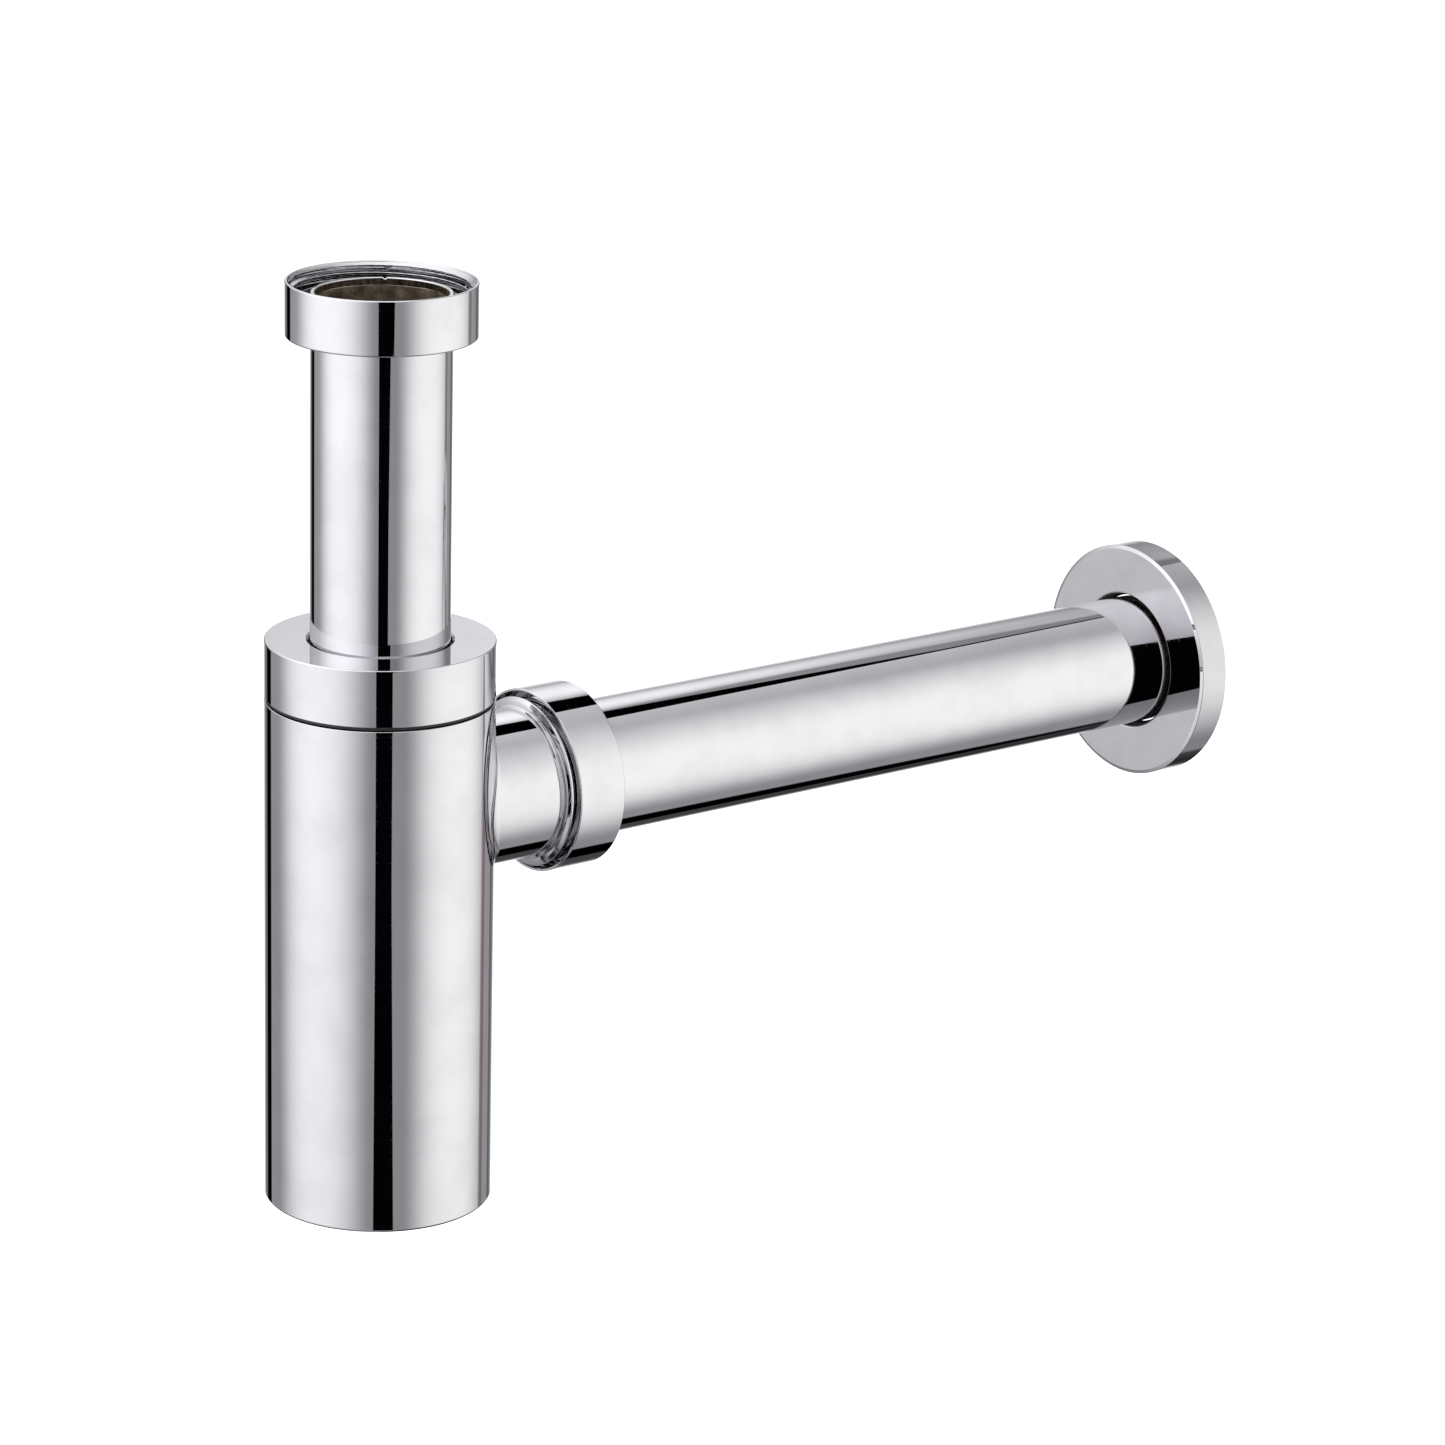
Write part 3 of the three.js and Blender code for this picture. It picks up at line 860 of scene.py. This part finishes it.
outlet_tube = plain_ring(
    "outlet_tube", BORE, TUBE, outlet_low.x, outlet_high.x, 0.3, OUTLET, steps=FINE, bareness_and_shade=bare_bore
)
finish_piece(outlet_tube, CHROME_OUT, "outlet_tube")

FLANGE = flange_high.y
FRONT = flange_low.x
BEVEL_WIDTH, BEVEL_DEPTH = 0.9, 0.26
HUB = 20.4
FLANGE_HOLE = 17.0
GRIP_HALF = 1.2
GROOVE = TUBE + 0.15 + 2 * GRIP_HALF + 0.2
HUB_END = FRONT + 6.6
GROOVE_MIDDLE = FRONT + 3.3


def flange_bareness_and_hole_shade(r, h):
    """Bare behind the face; on the wall of the hole, painted shade: the dark bare-brass colour darkens the
    gap round the tube.
    """
    behind = (h > FRONT + 1.2) & (r < FLANGE - 0.9)
    # painted shade: darkens the hole's wall in the gap round the tube
    hole_wall_shade = (h > FRONT + 0.4) & (r < FLANGE_HOLE + 0.3)
    return np.where(behind | hole_wall_shade, FLANGE_BARE_AND_SHADE, 0.0)


flange = lathe(
    "wall_flange",
    rounded(
        [
            (FLANGE_HOLE, FRONT, 0.6),
            (FLANGE - BEVEL_WIDTH, FRONT, 0.4),
            (FLANGE, FRONT + BEVEL_DEPTH, 0.2),
            (FLANGE, flange_high.x, 0.25),
            (FLANGE - 1.4, flange_high.x, 0.25),
            (FLANGE - 1.4, FRONT + 1.6, 0.4),
            (HUB, FRONT + 1.6, 0.6),
            (HUB, HUB_END, 0.3),
            (FLANGE_HOLE, HUB_END, 0.3),
            (FLANGE_HOLE, GROOVE_MIDDLE + GRIP_HALF + 0.2, 0.1),
            (GROOVE, GROOVE_MIDDLE + GRIP_HALF + 0.2, 0.2),
            (GROOVE, GROOVE_MIDDLE - GRIP_HALF - 0.2, 0.2),
            (FLANGE_HOLE, GROOVE_MIDDLE - GRIP_HALF - 0.2, 0.1),
        ]
    ),
    OUTLET,
    bareness_and_shade=flange_bareness_and_hole_shade,
)
finish_piece(flange, CHROME_PRESSED, "wall_flange")

grip_corners = [
    (
        TUBE + 0.15 + GRIP_HALF + GRIP_HALF * math.cos(TURN * (i + 0.5) / 8),
        GROOVE_MIDDLE + GRIP_HALF * math.sin(TURN * (i + 0.5) / 8),
        1.0,
    )
    for i in range(8)
]
grip = lathe("flange_grip_ring", rounded(grip_corners), OUTLET, steps=HIDDEN)
finish_piece(grip, RUBBER, "wall_flange")


# ---- camera -----------------------------------------------------------------------------------

# The values come from a least-squares fit of the trap's outlines to those in the photo.

CAMERA_AZIMUTH = math.radians(37.36)  # the view's direction, turned from +Y towards +X
CAMERA_DOWN = math.radians(17.17)
CAMERA_ROLL = math.radians(1.431)
CAMERA_AIM = Vector((39.22, -77.12, -83.54)) * MM
CAMERA_DISTANCE = 1150 * MM

forward = Vector(
    (
        math.sin(CAMERA_AZIMUTH) * math.cos(CAMERA_DOWN),
        math.cos(CAMERA_AZIMUTH) * math.cos(CAMERA_DOWN),
        -math.sin(CAMERA_DOWN),
    )
)
level_right = Vector((math.cos(CAMERA_AZIMUTH), -math.sin(CAMERA_AZIMUTH), 0))
level_up = level_right.cross(forward)
up = level_up * math.cos(CAMERA_ROLL) - level_right * math.sin(CAMERA_ROLL)
right = forward.cross(up)
camera_data = bpy.data.cameras.new("camera")
camera_data.lens = 130.157
camera_data.sensor_width = 36
camera_data.clip_start = 0.05
camera_data.clip_end = 60
camera = bpy.data.objects.new("camera", camera_data)
turned = Matrix((right, up, -forward)).transposed().to_4x4()
camera.matrix_world = Matrix.Translation(CAMERA_AIM - forward * CAMERA_DISTANCE) @ turned
bpy.context.scene.collection.objects.link(camera)
bpy.context.scene.camera = camera


# ---- studio -----------------------------------------------------------------------------------
# A white light tent. Directions are given as seen from the trap: bearing 0 points level towards
# the camera's side and grows to the camera's right, elevation is above the horizon.

TENT = (0.40, 0.40, 0.42)
SOFT_LIGHTS = (
    # bearing, elevation, spread in degrees, colour and strength
    (-60, 0, 60, (1.0, 1.0, 1.0)),  # left softbox
    (85, 0, 60, (1.1, 1.1, 1.05)),  # right softbox
    (-80, 60, 90, (1.2, 1.2, 1.2)),  # overhead softbox, hung to the left
    (180, -15, 25, (0.7, 0.7, 0.7)),  # the white sweep behind the trap
)
# Seams and openings of the tent: left and right bearing, with how each moves per degree of
# elevation from the middle one, bottom and top elevation, softness of the sides and of the ends,
# and how much of each colour they take.
BLACK = (1.0, 1.0, 1.0)
OPENINGS = (
    # left seam, and the dusk beside it
    ((-147, 0), (-134, 0), 0, (-75, 8), 1, 2, BLACK),
    ((-157, 0), (-146, 0), 0, (-75, 8), 3, 2, (0.5, 0.5, 0.5)),
    # right seams
    ((128, 0), (136, 0), 0, (-44, 8), 2, 2, (0.5, 0.6, 0.6)),
    ((151, 0), (167, 0), 0, (-44, 8), 2, 2, (0.6, 0.6, 0.6)),
    # under the table
    ((133, 2), (156, 0), -54, (-90, -46), 2, 2, BLACK),
    ((142, 0), (179, 0), 0, (-90, -32), 4, 10, (0.8, 0.8, 0.8)),
    # tent's top right
    ((106, 0), (150, 0), 0, (47, 90), 14, 12, (0.2, 0.2, 0.2)),
)

world = bpy.data.worlds.new("studio")
world.use_nodes = True
bpy.context.scene.world = world


class WorldNodes(Nodes):
    def __init__(self, tree):
        self.tree = tree


w = WorldNodes(world.node_tree)
toward = Vector((-forward.x, -forward.y, 0)).normalized()


def direction(bearing, elevation):
    b, e = math.radians(bearing), math.radians(elevation)
    level = toward * math.cos(b) + level_right * math.sin(b)
    return level * math.cos(e) + Vector((0, 0, math.sin(e)))


def component(nodes, vector, axis):
    """A vector's size along a fixed axis."""
    node = nodes.add("ShaderNodeVectorMath", {0: vector, 1: tuple(axis)}, operation="DOT_PRODUCT")
    return node.outputs["Value"]


ray = w.add("ShaderNodeTexCoord").outputs["Generated"]
light = TENT
for bearing, elevation, spread, colour in SOFT_LIGHTS:
    facing = component(w, ray, direction(bearing, elevation))
    glow = w.add("ShaderNodeVectorMath", {0: colour}, operation="SCALE")
    w.put(glow.inputs["Scale"], w.ramp(facing, math.cos(math.radians(spread)), 1.0))
    light = w.add("ShaderNodeVectorMath", {0: light, 1: glow.outputs[0]}, operation="ADD").outputs[0]

ahead, aside = component(w, ray, toward), component(w, ray, level_right)
above = component(w, ray, (0, 0, 1))
bearing_of = w.math("MULTIPLY", w.math("ARCTAN2", aside, ahead), math.degrees(1))
elevation_of = w.math("MULTIPLY", w.math("ARCSINE", above), math.degrees(1))


def edge(bearing, slope, middle, softness):
    """Rises from 0 to 1 across a sloping line of bearing."""
    lean = w.math("MULTIPLY", w.math("SUBTRACT", elevation_of, middle), slope)
    return w.ramp(w.math("SUBTRACT", bearing_of, lean), bearing - softness, bearing + softness)


for left, right_side, middle, (bottom, top), soft, end_soft, taken in OPENINGS:
    begun = edge(*left, middle, soft)
    ended = edge(*right_side, middle, soft)
    over = w.ramp(elevation_of, bottom - end_soft, bottom + end_soft)
    under = w.ramp(elevation_of, top - end_soft, top + end_soft, 1.0, 0.0)
    inside = w.math("MULTIPLY", w.math("SUBTRACT", begun, ended), w.math("MULTIPLY", over, under))
    shade = w.add("ShaderNodeVectorMath", {0: taken}, operation="SCALE")
    w.put(shade.inputs["Scale"], inside)
    left_over = w.add("ShaderNodeVectorMath", {0: BLACK, 1: shade.outputs[0]}, operation="SUBTRACT")
    light = w.add(
        "ShaderNodeVectorMath", {0: light, 1: left_over.outputs[0]}, operation="MULTIPLY"
    ).outputs[0]
w.put(world.node_tree.nodes["Background"].inputs["Color"], light)


def stage_card(name, rows, material):
    """A card of the studio, through rows of left and right points. Only reflections show it."""
    mesh = bpy.data.meshes.new(name)
    faces = [(2 * i, 2 * i + 1, 2 * i + 3, 2 * i + 2) for i in range(len(rows) - 1)]
    mesh.from_pydata([point for row in rows for point in row], [], faces)
    mesh.materials.append(material)
    made = bpy.data.objects.new(name, mesh)
    bpy.context.scene.collection.objects.link(made)
    made.visible_camera = False
    made.visible_diffuse = False
    made.visible_shadow = False


# The opening that the camera looks through: height, left and right bearing from the bottle's axis.
OPENING_DISTANCE = 1.1
OPENING_EDGES = (
    (1.00, -6, 18),
    (0.30, 0, 20),
    (-0.20, 0, 20),
    (-0.34, 0, 16),
    (-0.50, 0, 16),
    (-0.70, -1, 20),
    (-1.30, -20, 26),
    (-2.30, -42, 34),
)
cloth = Nodes("black_cloth")
nap = cloth.noise(cloth.where(), 300.0, 3.0, 0.6)
cloth.put(cloth.shader.inputs["Base Color"], cloth.mix(nap, (0, 0, 0, 1), (0.004, 0.004, 0.004, 1)))
cloth.shader.inputs["Roughness"].default_value = 1.0
cloth.shader.inputs["Specular IOR Level"].default_value = 0.0
opening_rows = []
for height, left, right_side in OPENING_EDGES:
    lift = Vector((0, 0, height))
    ends = (direction(left, 0), direction(right_side, 0))
    opening_rows.append([end * OPENING_DISTANCE + lift for end in ends])
stage_card("camera_opening", opening_rows, cloth.material)

# The tent's back wall: a soft lamp behind the bottle, and a dark opening above it to the right.
# Places on the wall are metres to the camera's right and up.
BACK_SIDES = (-0.6, 1.2)
BACK_HEIGHTS = (-0.1, 2.4)
BACK_DISTANCE = 1.0
LAMP_HEIGHT = 0.5
LAMP_REACH = (0.36, 0.08)
LAMP_STRENGTH = 0.72
LAMP_SQUASH = 0.6
SIDE_LEAN, SIDE_EDGE = 0.14, (0.498, 0.514)  # the opening's right side
CORE_LEAN, CORE_BOTTOM, CORE_LEFT = 0.3, (0.77, 0.82), (0.17, 0.24)
SLIT_LEFT, SLIT_BOTTOM = (0.580, 0.592), (0.80, 0.85)
DUSK_BOTTOM, DUSK_LEFT, DUSK_SHARE = (0.58, 0.72), (0.20, 0.34), 0.55
back = Nodes("back_wall")
place = back.where()
along = component(back, place, level_right)
height_of = component(back, place, (0, 0, 1))
from_lamp = back.math("MULTIPLY", back.math("SUBTRACT", height_of, LAMP_HEIGHT), LAMP_SQUASH)
distance = back.math(
    "SQRT", back.math("ADD", back.math("POWER", along, 2.0), back.math("POWER", from_lamp, 2.0))
)
lamp = back.ramp(distance, LAMP_REACH[1], LAMP_REACH[0], LAMP_STRENGTH, 0.0)
side_of = back.math("SUBTRACT", along, back.math("MULTIPLY", height_of, SIDE_LEAN))
before_side = back.ramp(side_of, *SIDE_EDGE, 1.0, 0.0)
rise = back.math("SUBTRACT", height_of, back.math("MULTIPLY", along, CORE_LEAN))
core = back.math("MULTIPLY", back.ramp(rise, *CORE_BOTTOM), back.ramp(along, *CORE_LEFT))
slit = back.math("MULTIPLY", back.ramp(along, *SLIT_LEFT), back.ramp(height_of, *SLIT_BOTTOM))
core = back.math("MAXIMUM", core, slit)
dusk = back.math("MULTIPLY", back.ramp(height_of, *DUSK_BOTTOM), back.ramp(along, *DUSK_LEFT))
dusk = back.math("MULTIPLY", dusk, DUSK_SHARE)
closed_share = back.math("MULTIPLY", back.math("MAXIMUM", core, dusk), before_side)
output = back.tree.nodes["Material Output"]
clear = back.add("ShaderNodeBsdfTransparent").outputs[0]
dark = back.add("ShaderNodeEmission", {"Color": (0, 0, 0, 1)}).outputs[0]
wall_mix = back.add("ShaderNodeMixShader", {0: closed_share, 1: clear, 2: dark}).outputs[0]
lamp_light = back.add("ShaderNodeEmission", {"Color": (1, 1, 1, 1), "Strength": lamp}).outputs[0]
both = back.add("ShaderNodeAddShader", {0: wall_mix, 1: lamp_light}).outputs[0]
back.put(output.inputs["Surface"], both)
back_rows = [
    [level_right * side + toward * -BACK_DISTANCE + Vector((0, 0, height)) for side in BACK_SIDES]
    for height in BACK_HEIGHTS
]
stage_card("tent_back", back_rows, back.material)

# ---- floor ------------------------------------------------------------------------------------

FLOOR_Z = -1000.0
FLOOR_THICK = 50
SWEEP = 9000.0
SWEEP_TOP = 7000
SWEEP_CURVE = 3000
floor_nodes = Nodes("pale_floor")
speckle = floor_nodes.noise(floor_nodes.where(), 8.0, 3.0, 0.5)
pale = floor_nodes.mix(floor_nodes.ramp(speckle, 0.3, 0.7), (0.93, 0.93, 0.93, 1), (0.95, 0.95, 0.95, 1))
floor_nodes.put(floor_nodes.shader.inputs["Base Color"], pale)
floor_nodes.put(floor_nodes.shader.inputs["Roughness"], floor_nodes.ramp(speckle, 0.3, 0.7, 0.7, 0.8))
floor_nodes.shader.inputs["Specular IOR Level"].default_value = 0.0
floor_nodes.shader.inputs["Emission Color"].default_value = (1, 1, 1, 1)
floor_nodes.shader.inputs["Emission Strength"].default_value = 0.35
floor = lathe(
    "floor",
    rounded(
        [
            (0, FLOOR_Z - FLOOR_THICK, 0),
            (SWEEP + FLOOR_THICK, FLOOR_Z - FLOOR_THICK, 100),
            (SWEEP + FLOOR_THICK, SWEEP_TOP, 20),
            (SWEEP, SWEEP_TOP, 20),
            (SWEEP, FLOOR_Z, SWEEP_CURVE),
            (0, FLOOR_Z, 0),
        ],
        closed=False,
    ),
    steps=96,
)
floor.data.materials.append(floor_nodes.material)
floor.visible_glossy = False
floor.visible_diffuse = False
floor.visible_shadow = False

settings = bpy.context.scene.view_settings
settings.view_transform = "Standard"
settings.look = "None"
